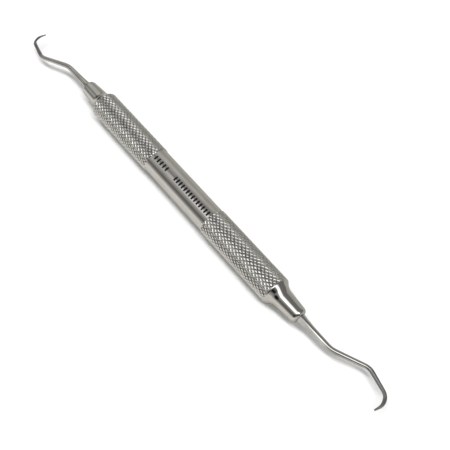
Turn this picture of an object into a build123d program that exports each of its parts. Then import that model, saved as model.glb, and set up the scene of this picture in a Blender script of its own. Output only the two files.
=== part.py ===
"""Double-ended dental hand scaler, a paired curette with a hollow handle, in millimetres.

The scaler lies on the plane Z = 0, its handle axis along X at the height of the grip's radius.
The origin is on that plane, under the middle of the handle. +Z is up.
End A is towards +X and end B towards -X. The two blades are a mirror pair.

Pieces: handle_tube, end_cone_a, end_cone_b, working_end_a, working_end_b. The cones are pressed
into the tube, and the tangs into the cones, so nothing moves.
"""

import math
import os

from build123d import *

# Handle tube
GRIP_DIA = 9.5            # over the crests of the two knurled zones
WAIST_DIA = 9.04          # plain stretch between them
TUBE_BORE_DIA = 7.9       # inside of the hollow handle
TUBE_HALF = 44.0          # middle of the handle to the end of the tube
WAIST_HALF = 14.75        # middle of the handle to the first knurled crest
WAIST_BEVEL = 0.25        # length of the bevel between the waist and the knurl
LEAD_IN = 0.3             # chamfer at each mouth of the tube's bore

# End cone
SPIGOT_LENGTH = 6.0       # what is pressed into the tube
SPIGOT_CHAMFER = 0.5
CROWN_LENGTH = 0.2        # full-width land next to the tube
CROWN_ROUND = 0.55
FOOT_OFFSET = 2.2         # end of the tube to the foot of the steep shoulder
FOOT_DIA = 6.5
FOOT_ROUND = 4.0
CONE_LENGTH = 10.7        # end of the tube to the nose
NOSE_DIA = 5.2
NOSE_ROUND = 1.3

# Working end: tang, shank and blade are one piece
TANG_DIA = 2.3
TANG_START = 41.0         # middle of the handle to the inner end of the tang
TANG_CHAMFER = 0.4
BEND_1 = (66.95, 0.22)    # corners of end A's centreline, seen from above
BEND_2 = (77.3, 5.15)
HEEL = (85.25, 3.35)      # the terminal shank turns into the blade
BLADE_MID = (86.7, 0.9)
TOE = (86.15, -1.95)
BEND_ROUNDS = [7.0, 4.5, 3.0, 3.4]
DIP = math.tan(math.radians(3.5))   # fall of the shank beyond its first bend
ROOT_GAP = 0.08           # the flared root of the shank stands clear of the nose
ROOT_TANG = 0.3           # the tang runs this far into the root
ROOT_DIAS = [(0.0, 2.9), (1.5, 2.5), (4.0, 2.16)]   # (distance from the root, diameter)
BEND_1_DIA = 1.7
BEND_2_DIA = 1.38
BLADE_DIA = 1.14
TOE_DIA = 0.55
TOE_LENGTH = 0.22         # rounded end of the toe
TAPER_LENGTH = 3.2        # stretch over which the blade thins to the toe
FACE_OFFSET = 0.17        # the flat face lies this far from the blade's centreline
FACE_TILT = 35.0          # degrees that the face is turned out of the hook's plane
FACE_RUN_OUT = 1.6        # stretch over which the face comes out of the round shank
SHANK_STEP = 0.9          # spacing of the cross-sections
BLADE_STEP = 0.35

AXIS_HEIGHT = GRIP_DIA / 2
ROOT_X = TUBE_HALF + CONE_LENGTH + ROOT_GAP
HANDLE_AXIS = Axis((0, 0, AXIS_HEIGHT), (1, 0, 0))
TURN_AXIS = Axis((0, 0, 0), (0, 0, 1))


def turned(corners):
    """Solid turned about the handle axis. Each corner is (distance along X, radius, rounding)."""
    points = [(x, 0, AXIS_HEIGHT + r) for x, r, rounding in corners]
    outline = FilletPolyline(*points, radius=[rounding for x, r, rounding in corners], close=True)
    return revolve(make_face(outline), HANDLE_AXIS)


def handle_tube():
    """Hollow handle. The knurled zones are drawn as plain cylinders over the knurl's crests."""
    grip = GRIP_DIA / 2
    waist = WAIST_DIA / 2
    bore = TUBE_BORE_DIA / 2
    half = [
        (WAIST_HALF - WAIST_BEVEL, waist, 0),
        (WAIST_HALF, grip, 0),
        (TUBE_HALF, grip, 0),
        (TUBE_HALF, bore + LEAD_IN, 0),
        (TUBE_HALF - LEAD_IN, bore, 0),
    ]
    other_half = [(-x, r, rounding) for x, r, rounding in reversed(half)]
    return turned(other_half + half)


def end_cone():
    """End A's cone: spigot, full-width crown, steep shoulder, slender taper, round nose, bore."""
    grip = GRIP_DIA / 2
    spigot = TUBE_BORE_DIA / 2
    tang = TANG_DIA / 2
    inner = TUBE_HALF - SPIGOT_LENGTH
    nose = TUBE_HALF + CONE_LENGTH
    return turned([
        (inner, tang, 0),
        (inner, spigot - SPIGOT_CHAMFER, 0),
        (inner + SPIGOT_CHAMFER, spigot, 0),
        (TUBE_HALF - LEAD_IN, spigot, 0),
        (TUBE_HALF, spigot + LEAD_IN, 0),
        (TUBE_HALF, grip, 0),
        (TUBE_HALF + CROWN_LENGTH, grip, CROWN_ROUND),
        (TUBE_HALF + FOOT_OFFSET, FOOT_DIA / 2, FOOT_ROUND),
        (nose, NOSE_DIA / 2, NOSE_ROUND),
        (nose, tang, 0),
    ])


def centreline():
    """End A's centreline from the root of the shank to the toe."""
    route = [(ROOT_X, 0.0), BEND_1, BEND_2, HEEL, BLADE_MID, TOE]
    points = [(x, y, AXIS_HEIGHT - DIP * max(0.0, x - BEND_1[0])) for x, y in route]
    return FilletPolyline(*points, radius=BEND_ROUNDS)


def spaced(start, end, step):
    """Evenly spaced distances from start up to, but not at, end."""
    count = math.ceil((end - start) / step)
    return [start + (end - start) * i / count for i in range(count)]


def blend(value, stops):
    """Straight-line interpolation in a list of (position, size) stops."""
    for (low, size), (high, next_size) in zip(stops, stops[1:]):
        if value <= high:
            return size + (next_size - size) * (value - low) / (high - low)
    return stops[-1][1]


def working_end(hand):
    """Tang, bent tapering shank and curved half-round blade of end A. hand is +1 or -1."""
    path = centreline()
    total = path.length
    corners = path.edges()
    straight_1 = corners[0].length
    bend_1 = straight_1 + corners[1].length / 2
    bend_2 = straight_1 + corners[1].length + corners[2].length + corners[3].length / 2
    heel = sum(edge.length for edge in corners[:5])
    sizes = ROOT_DIAS + [
        (bend_1, BEND_1_DIA),
        (bend_2, BEND_2_DIA),
        (heel, BLADE_DIA),
        (total - TAPER_LENGTH, BLADE_DIA),
        (total, TOE_DIA),
    ]

    def section_plane(s):
        """Plane across the path, its X towards the hollow of the hook and its Y upwards."""
        tangent = path % (s / total)
        return Plane(path @ (s / total), x_dir=tangent.cross(Vector(0, 0, 1)), z_dir=tangent)

    def diameter(s):
        into_toe = max(0.0, s - (total - TOE_LENGTH)) / TOE_LENGTH
        return blend(s, sizes) * math.sqrt(1 - 0.85 * into_toe**2)

    stations = spaced(0, heel, SHANK_STEP) + spaced(heel, total - TOE_LENGTH, BLADE_STEP)
    stations += spaced(total - TOE_LENGTH, total, TOE_LENGTH / 4) + [total]
    shank = loft([section_plane(s) * Circle(diameter(s) / 2) for s in stations])

    cutter_depth = BLADE_DIA
    cutters = []
    for s in spaced(heel, total, BLADE_STEP) + [total]:
        run_out = max(0.0, 1 - (s - heel) / FACE_RUN_OUT)
        height = FACE_OFFSET * diameter(s) / BLADE_DIA + BLADE_DIA / 2 * run_out
        tilted = section_plane(s) * Rot(0, 0, hand * FACE_TILT) * Pos(height, 0)
        cutters.append(tilted * Rectangle(cutter_depth, 2 * BLADE_DIA, align=(Align.MIN, Align.CENTER)))
    blade_cut = loft(cutters)
    past_toe = extrude(cutters[-1], TOE_LENGTH)
    shank = shank - blade_cut - past_toe

    tang_length = ROOT_X + ROOT_TANG - TANG_START
    tang = Cylinder(TANG_DIA / 2, tang_length, align=(Align.CENTER, Align.CENTER, Align.MIN))
    tang = chamfer(tang.edges().sort_by(Axis.Z)[0], TANG_CHAMFER)
    tang = Plane((TANG_START, 0, AXIS_HEIGHT), z_dir=(1, 0, 0)) * tang
    return tang + shank


cone = end_cone()
nodes = {
    "handle_tube": handle_tube(),
    "end_cone_a": cone,
    "end_cone_b": cone.rotate(TURN_AXIS, 180),
    "working_end_a": working_end(1),
    "working_end_b": working_end(-1).rotate(TURN_AXIS, 180),
}
os.makedirs("parts", exist_ok=True)
for name, solid in nodes.items():
    export_step(solid, f"parts/{name}.step")
    box = solid.bounding_box()
    print(f"{name}: {solid.volume:.1f} mm3, X {box.min.X:.2f} to {box.max.X:.2f},"
          f" Y {box.min.Y:.2f} to {box.max.Y:.2f}, Z {box.min.Z:.2f} to {box.max.Z:.2f}")
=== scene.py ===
"""The looks of the double-ended dental hand scaler, built round its CAD frame. Lengths are in metres.

The handle lies along X with end A towards +X. Every piece of the real instrument is one object here:
the knurled handle, two end cones and two working ends. The second end is the first one turned half a
turn about Z, with the blade's flat face tilted the other way.
"""

import math

import bpy
import numpy as np
from mathutils import Matrix, Vector


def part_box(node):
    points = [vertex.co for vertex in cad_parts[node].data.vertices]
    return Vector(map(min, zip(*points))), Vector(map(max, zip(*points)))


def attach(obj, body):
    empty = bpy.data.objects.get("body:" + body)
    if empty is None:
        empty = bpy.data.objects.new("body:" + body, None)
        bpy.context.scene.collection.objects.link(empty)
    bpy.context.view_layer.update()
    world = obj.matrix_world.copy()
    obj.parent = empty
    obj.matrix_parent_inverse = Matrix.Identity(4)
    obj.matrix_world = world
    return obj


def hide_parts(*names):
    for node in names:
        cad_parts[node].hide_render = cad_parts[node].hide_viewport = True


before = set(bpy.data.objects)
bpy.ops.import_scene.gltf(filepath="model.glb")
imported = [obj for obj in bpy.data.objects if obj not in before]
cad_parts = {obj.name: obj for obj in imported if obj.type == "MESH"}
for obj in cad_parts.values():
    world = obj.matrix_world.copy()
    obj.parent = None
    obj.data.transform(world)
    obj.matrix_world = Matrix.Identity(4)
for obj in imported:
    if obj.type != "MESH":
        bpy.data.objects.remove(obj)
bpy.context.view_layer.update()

MM = 0.001

# Sizes read from the frame
tube_low, tube_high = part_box("handle_tube")
cone_low, cone_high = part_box("end_cone_a")
GRIP_R = (tube_high.z - tube_low.z) / 2
AXIS_Z = (tube_high.z + tube_low.z) / 2
TUBE_HALF = tube_high.x
SPIGOT_X = cone_low.x
NOSE_X = cone_high.x
TANG_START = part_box("working_end_a")[0].x

# Meshes
SHARP_ANGLE = math.radians(22)        # edges that turn more than this are crisp

# Handle
WAIST_R = 4.52 * MM
WAIST_HALF = 14.75 * MM               # middle of the handle to the first knurled crest
WAIST_BEVEL = 0.25 * MM
BORE_R = 3.95 * MM
LEAD_IN = 0.3 * MM
KNURL_STARTS = 21                     # grooves of each hand round the handle
KNURL_HALF_PITCHES = 34               # half pitches along one knurled zone
KNURL_STEPS = 5                       # mesh cells in a half pitch
KNURL_GROOVE = 0.5                    # share of the pitch that a groove takes
KNURL_DEPTH = 0.16 * MM
KNURL_CURVE = 1.15                    # 1 is a straight flank, and more is steeper at the bottom
KNURL_WAVES = [(0.06, 2100, 3), (0.05, 900, -5)]     # share of the depth, radians per metre, waves round
KNURL_SEED = 7
SEGMENTS = 2 * KNURL_STARTS * KNURL_STEPS
KNURLED, PLAIN, ETCHED = range(3)     # order of the handle's materials

# Etched marks on the waist: plain bars, (first bar, last bar) along X
BAR_GROUPS = [(-12.9 * MM, -7.3 * MM), (-2.7 * MM, 13.5 * MM)]
BAR_PITCH = 1.25 * MM
BAR_WIDTH = 0.64 * MM
BAR_SPAN = math.radians(20)           # from straight up towards -Y

# End cone
CONE_SEGMENTS = 128
CONE_STEP = 0.2 * MM
CONE_TURN_STEP = math.radians(4)
TANG_R = 1.15 * MM
SPIGOT_R = BORE_R
SPIGOT_CHAMFER = 0.5 * MM
CROWN_LENGTH = 0.2 * MM
CROWN_ROUND = 0.55 * MM
FOOT_OFFSET = 2.2 * MM
FOOT_R = 3.25 * MM
FOOT_ROUND = 4.0 * MM
NOSE_R = 2.6 * MM
NOSE_ROUND = 1.3 * MM
MOUTH_CHAMFER = 0.12 * MM

# Working end: (x, y) corners of end A's centreline, in millimetres, and their rounding
ROUTE = [(66.95, 0.22), (77.3, 5.15), (85.25, 3.35), (86.7, 0.9), (86.15, -1.95)]
ROUTE_ROUNDS = [7.0, 4.5, 3.0, 3.4]
ROUTE_TURN_STEP = math.radians(1)
DIP = math.tan(math.radians(3.5))     # fall of the shank beyond its first bend
TANG_CHAMFER = 0.4 * MM
ROOT_GAP = 0.08 * MM                  # the flared root stands clear of the nose
TANG_REACH = 0.7                      # share of that gap in which the bare tang shows
ROOT_FLARE = [(0.0, 1.45 * MM), (1.5 * MM, 1.25 * MM), (4.0 * MM, 1.08 * MM)]  # (from the root, radius)
BEND_1_R = 0.85 * MM
BEND_2_R = 0.69 * MM
BLADE_R = 0.567 * MM
BLADE_LEAD = math.radians(35)         # the blade starts this far before the middle of the heel's bend
TAPER_LENGTH = 3.2 * MM
TOE_R = 0.275 * MM
TOE_LENGTH = 0.22 * MM
TOE_ARC = range(0, 81, 10)            # degrees round the end of the toe
TOE_ROUNDING = 0.85                   # 1 would close the end of the toe
FACE_OFFSET = 0.17 * MM
FACE_TILT = math.radians(35)
FACE_RUN_OUT = 1.6 * MM
FACE_MIN_HALF = math.radians(20)      # half the arc of the face's points on the round shank
SHANK_STEP = 0.25 * MM
BLADE_STEP = 0.08 * MM
SHANK_ARC_POINTS = 30
SHANK_FACE_POINTS = 18

# Finishes: noise scales are per metre, stretches are along X, Y and Z, limits are noise values
SMEAR_SCALE = 420
SMEAR_STRETCH = (0.5, 1, 1)
SMEAR_TINT_LIMITS = (0.35, 0.7)
SMEAR_GLOSS_LIMITS = (0.3, 0.75)
RING_SCALE = 900
RING_STRETCH = (6, 0.02, 0.02)
PIT_SCALE = 2600
PIT_DEPTH = 0.0006 * MM
SCRATCH_SCALE = 1500
SCRATCH_STRETCH = (0.3, 3, 3)
SCRATCH_DEPTH = 0.0007 * MM
GROUND_LIMITS = (75.5 * MM, 79.0 * MM)     # distances along X between which polish turns into satin
GROUND_ROUGHNESS = 0.3                     # added to the polished roughness
# Knurl grooves: painted shade darkens the steel towards each groove's bottom, in patches, and makes it
# rougher there
GROOVE_SHADE_LIMITS = (0.45, 1.0)                  # share of the groove's depth over which shade is painted into the knurl's colour
GROOVE_SHADE_SCALE = 300
GROOVE_SHADE_ROUGHNESS = 0.4
KNURL_GRAIN_SCALE = 3000
KNURL_GRAIN_DEPTH = 0.002 * MM
ETCH_GRAIN_SCALE = 2600
ETCH_GRAIN_DEPTH = 0.003 * MM
METAL = {"Metallic": 1.0}
MATT = {"Specular IOR Level": 0.04}

# Painted shade on the floor as the metal mirrors it: limits along Y of the pale near side and of the
# darker far side
FLOOR_HALF = 6.0
FLOOR_SHADE_NEAR_LIMITS = (-10.5 * MM, -4.5 * MM)
FLOOR_SHADE_FAR_LIMITS = (0.0, 20.0 * MM)

# Softbox overhead. Its limits are tangents of the angle from straight up, along and across it
SOFTBOX_TURN = math.radians(21)            # from X towards +Y
SOFTBOX_START = (-0.82, -0.2)
SOFTBOX_END = (2.4, 2.8)
SOFTBOX_NEAR_SIDE = (-0.6, -0.3)
SOFTBOX_FAR_SIDE = (-0.2, 0.26)
SOFTBOX_LOW = (0.02, 0.2)                  # it fades out this close to the horizon
SOFTBOX_BEYOND = 0.08                      # share of its light beyond its start
SOFTBOX_POWER = 2.1
LOWEST = 0.02                              # height at which the tangents stop growing

# Room round the instrument: brightness, and limits of the directions between which it changes.
# Back is the +Y part of a direction, left its -X part and up its +Z part.
WALL_TOWARDS = (-0.94, 0.33, -0.81)
WALL_LIMITS = (-0.14, 0.1)
WALL_BACK = (-0.45, 0.1)
WALL_LEFT = (0.42, 0.72)
WALL_LIGHT = 0.27
WALL_LEFT_SHARE = 0.7
HORIZON_UP = (0.0, 0.38)
HORIZON_BACK = (-0.4, 0.0)
HORIZON_LIGHT = 0.36
GLOW_START = (-1.4, -0.45)                 # across the softbox, like its own limits
GLOW_END = (-0.4, 0.1)
GLOW_LIGHT = 0.25
ROOM_BACK = (-0.9, -0.4)
ROOM_LEFT = (0.1, 0.7)
ROOM_FRONT_LIGHT = 0.17
ROOM_LIGHT = 0.2
ROOM_LEFT_SHARE = 0.85
WINDOW_LEFT = (0.25, 0.62)
WINDOW_START = (0.15, 0.45)                # across the softbox
WINDOW_END = (1.0, 2.8)
WINDOW_LIGHT = 0.26
DARK_SPOTS = [                             # direction, cosines of its edge and of its core
    ((0.25, -0.8, 0.5), 0.92, 0.965),
    ((0.92, -0.06, 0.39), 0.88, 0.94),
    ((-0.97, -0.2, 0.12), 0.86, 0.93),
]
DARK_SPOT_SHARE = 0.03
GREY_TINT = (1.0, 0.975, 0.89)
ROOM_TINT = (1.0, 0.985, 0.95)
SOFTBOX_TINT = (0.98, 0.99, 1.0)
DOME_LIGHT = 0.49                          # even light on the floor
BACKDROP_LIGHT = 1.1                       # what the camera sees past the floor

# Row of lamps that throws the shadow
OVERHEAD_LAMPS = 11
OVERHEAD_TURN = math.radians(12)           # from X towards +Y
OVERHEAD_ANGLE = math.radians(10)          # breadth of each lamp
OVERHEAD_POWER = 2.4                       # all lamps together, W/m2
OVERHEAD_LEAN = -0.05                      # across the row, towards +Y, per unit of height
OVERHEAD_SPREAD = (-0.6, 0.8)              # first and last lamp along the row, per unit of height

# Camera
AIM = Vector((17.8, 2.32, 4.75)) * MM
VIEW_AZIMUTH = math.radians(51.15)
VIEW_ELEVATION = math.radians(60.3)
VIEW_DISTANCE = 204.8 * MM
LENS = 53.72
SENSOR_WIDTH = 36
CLIP_START = 0.01
CLIP_END = 20


# Shapes

def filleted(points, radii, turn_step):
    """The polyline through points with each inner corner rounded by its radius."""
    path = [points[0]]
    for before, corner, after, radius in zip(points, points[1:], points[2:], radii):
        if radius == 0:
            path.append(corner)
            continue
        into = (before - corner).normalized()
        out = (after - corner).normalized()
        turn = math.pi - into.angle(out)
        bisector = (into + out).normalized()
        centre = corner + bisector * radius / math.cos(turn / 2)
        start = corner + into * radius * math.tan(turn / 2)
        end = corner + out * radius * math.tan(turn / 2)
        arms = start - centre, end - centre
        count = max(2, math.ceil(turn / turn_step))
        for i in range(count + 1):
            angle = turn * i / count
            near = math.sin(turn - angle) / math.sin(turn)
            far = math.sin(angle) / math.sin(turn)
            path.append(centre + arms[0] * near + arms[1] * far)
    path.append(points[-1])
    return path


def split_long(path, step):
    """The same polyline with extra points so that no run is longer than step."""
    fine = [path[0]]
    for low, high in zip(path, path[1:]):
        count = max(1, math.ceil((high - low).length / step))
        fine += [low.lerp(high, i / count) for i in range(1, count + 1)]
    return fine


def new_object(name, vertices, faces, node, materials):
    """A mesh object that stands for a CAD node, with crisp edges where its faces turn sharply."""
    mesh = bpy.data.meshes.new(name)
    mesh.from_pydata([tuple(v) for v in vertices], [], faces)
    mesh.validate()
    for material in materials:
        mesh.materials.append(material)
    mesh.shade_smooth()
    mesh.set_sharp_from_angle(angle=SHARP_ANGLE)
    piece = bpy.data.objects.new(name, mesh)
    bpy.context.scene.collection.objects.link(piece)
    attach(piece, "root")
    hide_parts(node)
    return piece


def on_axis(x, radius, angle):
    """A point round the handle axis. The angle runs from straight up towards -Y."""
    return Vector((x, -radius * math.sin(angle), AXIS_Z + radius * math.cos(angle)))


def lathe(outline, segments):
    """Vertices and quads of a closed (x, radius) outline turned about the handle axis."""
    vertices = []
    for x, r in outline:
        vertices += [on_axis(x, r, math.tau * j / segments) for j in range(segments)]
    faces = []
    count = len(outline)
    for i in range(count):
        nxt = (i + 1) % count
        for j in range(segments):
            k = (j + 1) % segments
            faces.append((i * segments + j, i * segments + k, nxt * segments + k, nxt * segments + j))
    return vertices, faces


def half_turn(vertices):
    """End B's points from end A's."""
    return [Vector((-v.x, -v.y, v.z)) for v in vertices]


# Handle

def knurl_cut(i, j):
    """Share of the groove depth at grid point (i, j), and whether the groove of rising hand is nearer."""
    period = 2 * KNURL_STEPS
    to_rising = abs((i + j + KNURL_STEPS) % period - KNURL_STEPS)
    to_falling = abs((i - j + KNURL_STEPS) % period - KNURL_STEPS)
    share = min(to_rising, to_falling) / KNURL_STEPS
    return max(0.0, 1 - share / KNURL_GROOVE) ** KNURL_CURVE, to_rising < to_falling


def unevenness(x, angle, phases):
    """Factor near 1 on the depth of the grooves, which varies slowly along and round the handle."""
    factor = 1.0
    for (share, along, around), phase in zip(KNURL_WAVES, phases):
        factor += share * math.sin(along * x + around * angle + phase)
    return factor


def bar_edges():
    """The (start, end) of every etched bar along X."""
    bars = []
    for first, last in BAR_GROUPS:
        count = round((last - first) / BAR_PITCH)
        for i in range(count + 1):
            middle = first + (last - first) * i / count
            bars.append((middle - BAR_WIDTH / 2, middle + BAR_WIDTH / 2))
    return bars


def outside_rings():
    """The handle's outside as (x, knurl column or None), from end B to end A."""
    zone = TUBE_HALF - WAIST_HALF
    columns = KNURL_HALF_PITCHES * KNURL_STEPS
    xs = [WAIST_HALF + zone * i / columns for i in range(columns + 1)]
    knurl_a = [(x, i) for i, x in enumerate(xs)]
    knurl_b = [(-x, -i) for x, i in reversed(knurl_a)]
    edges = [x for bar in bar_edges() for x in bar]
    waist_end = WAIST_HALF - WAIST_BEVEL
    waist = [(x, None) for x in [-waist_end] + edges + [waist_end]]
    return knurl_b + waist + knurl_a


def handle_faces(rings):
    """Faces between the handle's rings, and the material of each.

    A knurled cell is split along the nearer groove, so that the groove's bottom is a clean line.
    """
    bars = bar_edges()
    faces = []
    kinds = []
    for i, (x, column) in enumerate(rings):
        nxt = (i + 1) % len(rings)
        x_next, column_next = rings[nxt]
        in_bar = (x, x_next) in bars
        for j in range(SEGMENTS):
            k = (j + 1) % SEGMENTS
            a, b, c, d = i * SEGMENTS + j, i * SEGMENTS + k, nxt * SEGMENTS + k, nxt * SEGMENTS + j
            if column is None or column_next is None:
                angle = math.tau * (j + 0.5) / SEGMENTS
                faces.append((a, b, c, d))
                kinds.append(ETCHED if in_bar and angle < BAR_SPAN else PLAIN)
                continue
            rising_is_nearer = knurl_cut(column + 0.5, j + 0.5)[1]
            faces += [(a, b, d), (b, c, d)] if rising_is_nearer else [(a, b, c), (a, c, d)]
            kinds += [KNURLED, KNURLED]
    return faces, kinds


def handle_piece(materials):
    """Hollow handle with two knurled zones, a plain waist and etched bars."""
    phases = np.random.default_rng(KNURL_SEED).uniform(0, math.tau, len(KNURL_WAVES))
    outside = outside_rings()
    inside = [
        (TUBE_HALF, BORE_R + LEAD_IN),
        (TUBE_HALF - LEAD_IN, BORE_R),
        (-TUBE_HALF + LEAD_IN, BORE_R),
        (-TUBE_HALF, BORE_R + LEAD_IN),
    ]
    vertices = []
    grooves = []
    for x, column in outside:
        for j in range(SEGMENTS):
            angle = math.tau * j / SEGMENTS
            cut = 0.0
            radius = WAIST_R
            if column is not None:
                cut = knurl_cut(column, j)[0]
                radius = GRIP_R - KNURL_DEPTH * cut * unevenness(x, angle, phases)
            vertices.append(on_axis(x, radius, angle))
            grooves.append(cut)
    for x, radius in inside:
        vertices += [on_axis(x, radius, math.tau * j / SEGMENTS) for j in range(SEGMENTS)]
        grooves += [0.0] * SEGMENTS
    faces, kinds = handle_faces(outside + [(x, None) for x, radius in inside])
    piece = new_object("handle", vertices, faces, "handle_tube", materials)
    piece.data.polygons.foreach_set("material_index", kinds)
    groove = piece.data.attributes.new("groove", "FLOAT", "POINT")
    groove.data.foreach_set("value", grooves)


# Cones

def cone_pieces(steel):
    """The two turned end cones: spigot, crown, shoulder, slender taper, rounded nose and bore."""
    corners = [
        (SPIGOT_X, TANG_R, 0),
        (SPIGOT_X, SPIGOT_R - SPIGOT_CHAMFER, 0),
        (SPIGOT_X + SPIGOT_CHAMFER, SPIGOT_R, 0),
        (TUBE_HALF - LEAD_IN, SPIGOT_R, 0),
        (TUBE_HALF, SPIGOT_R + LEAD_IN, 0),
        (TUBE_HALF, GRIP_R, 0),
        (TUBE_HALF + CROWN_LENGTH, GRIP_R, CROWN_ROUND),
        (TUBE_HALF + FOOT_OFFSET, FOOT_R, FOOT_ROUND),
        (NOSE_X, NOSE_R, NOSE_ROUND),
        (NOSE_X, TANG_R + MOUTH_CHAMFER, 0),
        (NOSE_X - MOUTH_CHAMFER, TANG_R, 0),
    ]
    points = [Vector((x, r, 0)) for x, r, rounding in corners]
    outline = filleted(points, [rounding for x, r, rounding in corners[1:-1]], CONE_TURN_STEP)
    outline = [(p.x, p.y) for p in split_long(outline, CONE_STEP)]
    vertices, faces = lathe(outline, CONE_SEGMENTS)
    new_object("cone_a", vertices, faces, "end_cone_a", [steel])
    new_object("cone_b", half_turn(vertices), faces, "end_cone_b", [steel])


# Working ends

def between(value, stops):
    """Straight-line interpolation in a list of (position, size) stops."""
    for (low, size), (high, next_size) in zip(stops, stops[1:]):
        if value <= high:
            return size + (next_size - size) * (value - low) / (high - low)
    return stops[-1][1]


def route_points():
    """End A's centreline from the root to the toe, its lengths, and where its first three bends are."""
    corners = [Vector((NOSE_X + ROOT_GAP, 0, AXIS_Z))]
    for x, y in ROUTE:
        fall = DIP * (x - ROUTE[0][0])
        corners.append(Vector((x, y, AXIS_Z / MM - fall)) * MM)
    path = filleted(corners, [r * MM for r in ROUTE_ROUNDS], ROUTE_TURN_STEP)
    steps = [(high - low).length for low, high in zip(path, path[1:])]
    lengths = [0.0] + list(np.cumsum(steps))
    bends = []
    for corner in corners[1:4]:
        distances = [(point - corner).length for point in path]
        bends.append(lengths[distances.index(min(distances))])
    return path, lengths, bends


def at_length(path, lengths, s):
    """Point and direction at distance s along the polyline."""
    i = min(int(np.searchsorted(lengths, s, side="right")), len(path) - 1)
    low, high = path[i - 1], path[i]
    share = (s - lengths[i - 1]) / (lengths[i] - lengths[i - 1])
    return low.lerp(high, share), (high - low).normalized()


def spaced(start, end, step):
    """Evenly spaced distances from start up to, but not at, end."""
    count = math.ceil((end - start) / step)
    return [start + (end - start) * i / count for i in range(count)]


def blade_section(radius, face):
    """A round section whose flat face lies at distance face from the middle, as (out, up) points."""
    half = max(math.acos(min(1.0, face / radius)), FACE_MIN_HALF)
    flat = [-half + 2 * half * i / SHANK_FACE_POINTS for i in range(SHANK_FACE_POINTS)]
    rest = math.tau - 2 * half
    around = [half + rest * i / SHANK_ARC_POINTS for i in range(SHANK_ARC_POINTS)]
    return [(min(radius * math.cos(a), face), radius * math.sin(a)) for a in flat + around]


def tilted(section, angle):
    """The section's points turned by an angle."""
    cos, sin = math.cos(angle), math.sin(angle)
    return [(out * cos - up * sin, out * sin + up * cos) for out, up in section]


def across_path(section, point, direction):
    """The section's points laid across a path, its first axis sideways and its second upwards."""
    side = direction.cross(Vector((0, 0, 1))).normalized()
    up = side.cross(direction)
    return [point + side * out + up * height for out, height in section]


def working_end(hand):
    """Vertices and faces of end A's tang, bent shank and blade. hand tilts the blade's face."""
    path, lengths, (bend_1, bend_2, heel) = route_points()
    total = lengths[-1]
    heel -= ROUTE_ROUNDS[2] * MM * BLADE_LEAD
    toe = total - TOE_LENGTH
    sizes = ROOT_FLARE + [
        (bend_1, BEND_1_R),
        (bend_2, BEND_2_R),
        (heel, BLADE_R),
        (total - TAPER_LENGTH, BLADE_R),
        (total, TOE_R),
    ]
    tang_sizes = [
        (TANG_START, TANG_R - TANG_CHAMFER),
        (TANG_START + TANG_CHAMFER, TANG_R),
        (NOSE_X + ROOT_GAP * TANG_REACH, TANG_R),
    ]
    vertices = []
    for x, radius in tang_sizes:
        vertices += across_path(blade_section(radius, radius), Vector((x, 0, AXIS_Z)), Vector((1, 0, 0)))
    stations = spaced(0, heel, SHANK_STEP) + spaced(heel, toe, BLADE_STEP)
    stations += [toe + TOE_LENGTH * math.sin(math.radians(a)) for a in TOE_ARC]
    for s in stations:
        into_toe = max(0.0, s - toe) / TOE_LENGTH
        radius = between(s, sizes) * math.sqrt(1 - TOE_ROUNDING * into_toe ** 2)
        run_out = max(0.0, 1 - max(0.0, s - heel) / FACE_RUN_OUT)
        face = FACE_OFFSET * radius / BLADE_R + BLADE_R * run_out
        section = blade_section(radius, min(face, radius))
        vertices += across_path(tilted(section, hand * FACE_TILT), *at_length(path, lengths, s))
    ring = SHANK_FACE_POINTS + SHANK_ARC_POINTS
    rings = len(vertices) // ring
    faces = []
    for i in range(rings - 1):
        for j in range(ring):
            k = (j + 1) % ring
            faces.append((i * ring + j, (i + 1) * ring + j, (i + 1) * ring + k, i * ring + k))
    faces.append(tuple(range(ring)))
    faces.append(tuple(reversed(range((rings - 1) * ring, rings * ring))))
    return vertices, faces


def working_end_pieces(steel):
    """The two working ends, a mirror pair of blades on shanks bent to opposite sides."""
    vertices, faces = working_end(1)
    new_object("tip_a", vertices, faces, "working_end_a", [steel])
    vertices, faces = working_end(-1)
    new_object("tip_b", half_turn(vertices), faces, "working_end_b", [steel])


# Materials

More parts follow.
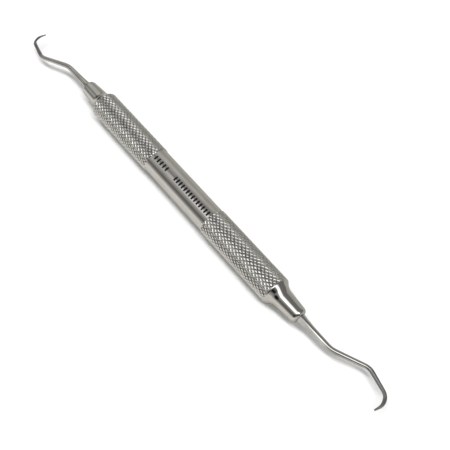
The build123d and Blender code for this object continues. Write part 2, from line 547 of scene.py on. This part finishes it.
class Graph:
    """Short ways to add nodes to a node tree. Inputs are sockets to link or constant values."""

    def __init__(self, tree):
        self.tree = tree
        tree.nodes.clear()

    def put(self, socket, value):
        if isinstance(value, bpy.types.NodeSocket):
            self.tree.links.new(value, socket)
        else:
            socket.default_value = value

    def add(self, kind, inputs=None, **settings):
        node = self.tree.nodes.new("ShaderNode" + kind)
        for name, value in settings.items():
            setattr(node, name, value)
        for name, value in (inputs or {}).items():
            self.put(node.inputs[name], value)
        return node

    def math(self, operation, *values):
        return self.add("Math", dict(enumerate(values)), operation=operation).outputs[0]

    def product(self, total, *factors):
        for factor in factors:
            total = self.math("MULTIPLY", total, factor)
        return total

    def dot(self, vector, direction):
        node = self.add("VectorMath", {0: vector, 1: direction}, operation="DOT_PRODUCT")
        return node.outputs["Value"]

    def tinted(self, tint, light):
        return self.add("VectorMath", {0: tint, "Scale": light}, operation="SCALE").outputs[0]

    def plus(self, first, second):
        return self.add("VectorMath", {0: first, 1: second}, operation="ADD").outputs[0]

    def ramp(self, value, limits, to_low=0.0, to_high=1.0):
        """A smooth step from to_low to to_high as value goes from the first limit to the second."""
        low, high = limits
        inputs = {"Value": value, "From Min": low, "From Max": high, "To Min": to_low, "To Max": to_high}
        return self.add("MapRange", inputs, interpolation_type="SMOOTHSTEP").outputs["Result"]

    def noise(self, place, scale, detail, roughness=0.55, stretch=(1, 1, 1)):
        mapped = self.add("Mapping", {"Vector": place, "Scale": stretch}).outputs["Vector"]
        inputs = {"Vector": mapped, "Scale": scale, "Detail": detail, "Roughness": roughness}
        return self.add("TexNoise", inputs).outputs["Fac"]

    def blend(self, share, first, second):
        """A colour from first to second. A mix node's colour sockets are its inputs 6 and 7."""
        node = self.add("Mix", data_type="RGBA")
        self.put(node.inputs[0], share)
        self.put(node.inputs[6], first)
        self.put(node.inputs[7], second)
        return node.outputs[2]

    def bump(self, height, distance, normal=None):
        inputs = {"Height": height, "Distance": distance, "Strength": 1.0}
        if normal is not None:
            inputs["Normal"] = normal
        return self.add("Bump", inputs).outputs["Normal"]

    def diffuse(self, colour):
        return self.add("BsdfDiffuse", {"Color": colour}).outputs["BSDF"]

    def background(self, colour, strength):
        return self.add("Background", {"Color": colour, "Strength": strength}).outputs["Background"]

    def mixed(self, share, first, second):
        return self.add("MixShader", {0: share, 1: first, 2: second}).outputs["Shader"]


def new_material(name):
    """A material's graph and the object coordinates in it."""
    material = bpy.data.materials.new(name)
    material.use_nodes = True
    graph = Graph(material.node_tree)
    place = graph.add("TexCoord").outputs["Object"]
    return material, graph, place


def finish_material(graph, substance, colour, roughness, normal):
    """Ends the graph in a Principled shader."""
    inputs = {"Base Color": colour, "Roughness": roughness, "Normal": normal}
    shader = graph.add("BsdfPrincipled", {**substance, **inputs})
    graph.add("OutputMaterial", {"Surface": shader.outputs["BSDF"]})


def rgba(red, green, blue):
    return (red, green, blue, 1.0)


def smear_noise(graph, place):
    """Broad smears, twice as long along X as across it."""
    return graph.noise(place, SMEAR_SCALE, detail=4, roughness=0.6, stretch=SMEAR_STRETCH)


def turned_steel(name, light, dark, smooth, dull, ring_depth):
    """Polished stainless steel with faint rings from the lathe, smears and fine pits."""
    material, graph, place = new_material(name)
    smears = smear_noise(graph, place)
    rings = graph.noise(place, RING_SCALE, detail=3, roughness=0.7, stretch=RING_STRETCH)
    pits = graph.noise(place, PIT_SCALE, detail=2)
    colour = graph.blend(graph.ramp(smears, SMEAR_TINT_LIMITS), light, dark)
    roughness = graph.ramp(smears, SMEAR_GLOSS_LIMITS, smooth, dull)
    normal = graph.bump(pits, PIT_DEPTH, graph.bump(rings, ring_depth))
    finish_material(graph, METAL, colour, roughness, normal)
    return material


def waist_steel():
    """The plain waist of the handle."""
    light = rgba(0.63, 0.62, 0.6)
    dark = rgba(0.58, 0.57, 0.55)
    return turned_steel("waist_steel", light, dark, smooth=0.1, dull=0.17, ring_depth=0.0012 * MM)


def cone_steel():
    """The end cones, polished a little more than the waist."""
    light = rgba(0.63, 0.62, 0.6)
    dark = rgba(0.57, 0.56, 0.54)
    return turned_steel("cone_steel", light, dark, smooth=0.07, dull=0.13, ring_depth=0.0008 * MM)


def ground_steel():
    """The working ends: polished shanks, and beyond the second bend a darker, satin ground blade."""
    material, graph, place = new_material("tip_steel")
    reach = graph.math("ABSOLUTE", graph.add("SeparateXYZ", {"Vector": place}).outputs["X"])
    ground = graph.ramp(reach, GROUND_LIMITS)
    smears = smear_noise(graph, place)
    tint = graph.ramp(smears, SMEAR_TINT_LIMITS)
    scratches = graph.noise(place, SCRATCH_SCALE, detail=3, roughness=0.7, stretch=SCRATCH_STRETCH)
    polished = graph.blend(tint, rgba(0.6, 0.595, 0.58), rgba(0.5, 0.495, 0.48))
    satin = graph.blend(tint, rgba(0.3, 0.295, 0.29), rgba(0.22, 0.217, 0.212))
    polish = graph.ramp(smears, SMEAR_GLOSS_LIMITS, 0.06, 0.11)
    roughness = graph.math("MULTIPLY_ADD", ground, GROUND_ROUGHNESS, polish)
    colour = graph.blend(ground, polished, satin)
    normal = graph.bump(scratches, SCRATCH_DEPTH)
    finish_material(graph, METAL, colour, roughness, normal)
    return material


def knurled_steel():
    """The knurl: bright worn crests and flanks, and towards the groove bottoms duller steel with painted
    shade.
    """
    material, graph, place = new_material("knurled_steel")
    groove = graph.add("Attribute", attribute_name="groove").outputs["Fac"]
    shade_patches = graph.noise(place, GROOVE_SHADE_SCALE, detail=3)
    grain = graph.noise(place, KNURL_GRAIN_SCALE, detail=2)
    bare_steel = rgba(0.68, 0.672, 0.655)
    groove_shade_colour = rgba(0.12, 0.115, 0.1)
    # Painted shade: the colour darkens towards the groove bottoms, standing for the shade of deeper
    # grooves
    groove_shade = graph.product(graph.ramp(groove, GROOVE_SHADE_LIMITS), graph.ramp(shade_patches, (0.3, 0.6), 0.4, 0.9))
    colour = graph.blend(groove_shade, bare_steel, groove_shade_colour)
    worn = graph.ramp(grain, (0.3, 0.7), 0.12, 0.2)
    roughness = graph.math("MULTIPLY_ADD", groove_shade, GROOVE_SHADE_ROUGHNESS, worn)
    finish_material(graph, METAL, colour, roughness, graph.bump(grain, KNURL_GRAIN_DEPTH))
    return material


def etched_steel():
    """Dark laser-etched marks."""
    material, graph, place = new_material("etched_steel")
    grain = graph.noise(place, ETCH_GRAIN_SCALE, detail=3)
    black = rgba(0.003, 0.003, 0.004)
    charcoal = rgba(0.02, 0.019, 0.018)
    colour = graph.blend(graph.ramp(grain, (0.35, 0.7)), black, charcoal)
    roughness = graph.ramp(grain, (0.3, 0.7), 0.5, 0.7)
    finish_material(graph, MATT, colour, roughness, graph.bump(grain, ETCH_GRAIN_DEPTH))
    return material


# Studio

def paper_floor():
    """A white paper floor. The metal mirrors a greyer one with painted shade: pale on the near side of
    the handle, darker under it and beyond it.
    """
    mesh = bpy.data.meshes.new("floor")
    corners = [(x * FLOOR_HALF, y * FLOOR_HALF, 0) for x, y in ((-1, -1), (1, -1), (1, 1), (-1, 1))]
    mesh.from_pydata(corners, [], [(0, 1, 2, 3)])
    floor = bpy.data.objects.new("floor", mesh)
    bpy.context.scene.collection.objects.link(floor)
    material, graph, place = new_material("paper")
    near_side = rgba(0.74, 0.73, 0.69)
    shade_under_handle = rgba(0.5, 0.49, 0.46)
    shaded_far_side = rgba(0.44, 0.43, 0.39)
    across = graph.add("SeparateXYZ", {"Vector": place}).outputs["Y"]
    # Painted shade: the floor that the metal mirrors is greyer than the camera's, darker under the handle
    # and beyond it
    tint = graph.blend(graph.ramp(across, FLOOR_SHADE_NEAR_LIMITS), near_side, shade_under_handle)
    tint = graph.blend(graph.ramp(across, FLOOR_SHADE_FAR_LIMITS), tint, shaded_far_side)
    white = rgba(0.95, 0.95, 0.95)
    to_camera = graph.add("LightPath").outputs["Is Camera Ray"]
    shader = graph.mixed(to_camera, graph.diffuse(tint), graph.diffuse(white))
    graph.add("OutputMaterial", {"Surface": shader})
    mesh.materials.append(material)


def level_axes(turn):
    """Level directions along and across something turned from X towards +Y."""
    along = Vector((math.cos(turn), math.sin(turn), 0))
    across = Vector((-math.sin(turn), math.cos(turn), 0))
    return along, across


def softbox_light(graph, up, u, v):
    """The long softbox, with four soft edges."""
    return graph.product(
        graph.ramp(u, SOFTBOX_START, SOFTBOX_BEYOND, 1),
        graph.ramp(u, SOFTBOX_END, 1, 0),
        graph.ramp(v, SOFTBOX_NEAR_SIDE),
        graph.ramp(v, SOFTBOX_FAR_SIDE, 1, 0),
        graph.ramp(up, SOFTBOX_LOW),
        SOFTBOX_POWER,
    )


def grey_light(graph, ray, up, back, left, v):
    """The brightest of a grey wall behind, a pale horizon in front and a glow beside the softbox."""
    wall = graph.product(
        graph.ramp(graph.dot(ray, WALL_TOWARDS), WALL_LIMITS, 0, WALL_LIGHT),
        graph.ramp(back, WALL_BACK),
        graph.ramp(left, WALL_LEFT, 1, WALL_LEFT_SHARE),
    )
    horizon = graph.product(
        graph.ramp(up, HORIZON_UP, HORIZON_LIGHT, 0),
        graph.ramp(back, HORIZON_BACK, 1, 0),
    )
    glow = graph.product(graph.ramp(v, GLOW_START, 0, GLOW_LIGHT), graph.ramp(v, GLOW_END, 1, 0))
    return graph.math("MAXIMUM", graph.math("MAXIMUM", wall, horizon), glow)


def room_light(graph, ray, back, left, v):
    """The dim room, with a dim window to the left and three dark spots."""
    room = graph.product(
        graph.ramp(back, ROOM_BACK, ROOM_FRONT_LIGHT, ROOM_LIGHT),
        graph.ramp(left, ROOM_LEFT, 1, ROOM_LEFT_SHARE),
    )
    window = graph.product(graph.ramp(left, WINDOW_LEFT, 0, WINDOW_LIGHT), graph.ramp(v, WINDOW_START))
    room = graph.math("MULTIPLY_ADD", window, graph.ramp(v, WINDOW_END, 1, 0), room)
    for spot, edge, core in DARK_SPOTS:
        closeness = graph.dot(ray, Vector(spot).normalized())
        room = graph.product(room, graph.ramp(closeness, (edge, core), 1, DARK_SPOT_SHARE))
    return room


def studio_world():
    """What each kind of ray sees: the metal the lit room, the floor an even dome, the camera white."""
    world = bpy.data.worlds.new("studio")
    bpy.context.scene.world = world
    world.use_nodes = True
    graph = Graph(world.node_tree)
    ray = graph.add("TexCoord").outputs["Generated"]
    up = graph.dot(ray, (0, 0, 1))
    back = graph.dot(ray, (0, 1, 0))
    left = graph.dot(ray, (-1, 0, 0))
    height = graph.math("MAXIMUM", up, LOWEST)
    u, v = (graph.math("DIVIDE", graph.dot(ray, axis), height) for axis in level_axes(SOFTBOX_TURN))
    grey = graph.tinted(GREY_TINT, grey_light(graph, ray, up, back, left, v))
    room = graph.tinted(ROOM_TINT, room_light(graph, ray, back, left, v))
    softbox = graph.tinted(SOFTBOX_TINT, softbox_light(graph, up, u, v))
    total = graph.plus(graph.plus(grey, room), softbox)
    lit_room = graph.background(total, 1.0)
    dome = graph.background(rgba(1, 1, 0.99), DOME_LIGHT)
    backdrop = graph.background(rgba(1, 1, 1), BACKDROP_LIGHT)
    path = graph.add("LightPath").outputs
    shader = graph.mixed(path["Is Glossy Ray"], dome, lit_room)
    shader = graph.mixed(path["Is Camera Ray"], shader, backdrop)
    graph.add("OutputWorld", {"Surface": shader})


def overhead_lamps():
    """A row of soft lamps over the floor, which throws the shadow and is not mirrored in the metal."""
    along, across = level_axes(OVERHEAD_TURN)
    first, last = OVERHEAD_SPREAD
    for i in range(OVERHEAD_LAMPS):
        reach = first + (last - first) * i / (OVERHEAD_LAMPS - 1)
        towards = along * reach + across * OVERHEAD_LEAN + Vector((0, 0, 1))
        data = bpy.data.lights.new("overhead_lamp", "SUN")
        data.energy = OVERHEAD_POWER / OVERHEAD_LAMPS
        data.angle = OVERHEAD_ANGLE
        lamp = bpy.data.objects.new("overhead_lamp", data)
        lamp.rotation_euler = towards.to_track_quat("Z", "Y").to_euler()
        lamp.visible_glossy = False
        bpy.context.scene.collection.objects.link(lamp)


def camera():
    """Looks down at the instrument from beyond end A, on the -Y side."""
    data = bpy.data.cameras.new("camera")
    data.lens = LENS
    data.sensor_width = SENSOR_WIDTH
    data.clip_start = CLIP_START
    data.clip_end = CLIP_END
    back = Vector((
        math.sin(VIEW_AZIMUTH) * math.cos(VIEW_ELEVATION),
        -math.cos(VIEW_AZIMUTH) * math.cos(VIEW_ELEVATION),
        math.sin(VIEW_ELEVATION),
    ))
    eye = bpy.data.objects.new("camera", data)
    bpy.context.scene.collection.objects.link(eye)
    rotation = (-back).to_track_quat("-Z", "Y").to_matrix().to_4x4()
    eye.matrix_world = Matrix.Translation(AIM + back * VIEW_DISTANCE) @ rotation
    bpy.context.scene.camera = eye


handle_piece([knurled_steel(), waist_steel(), etched_steel()])
cone_pieces(cone_steel())
working_end_pieces(ground_steel())
paper_floor()
studio_world()
overhead_lamps()
camera()
bpy.context.scene.view_settings.view_transform = "Standard"
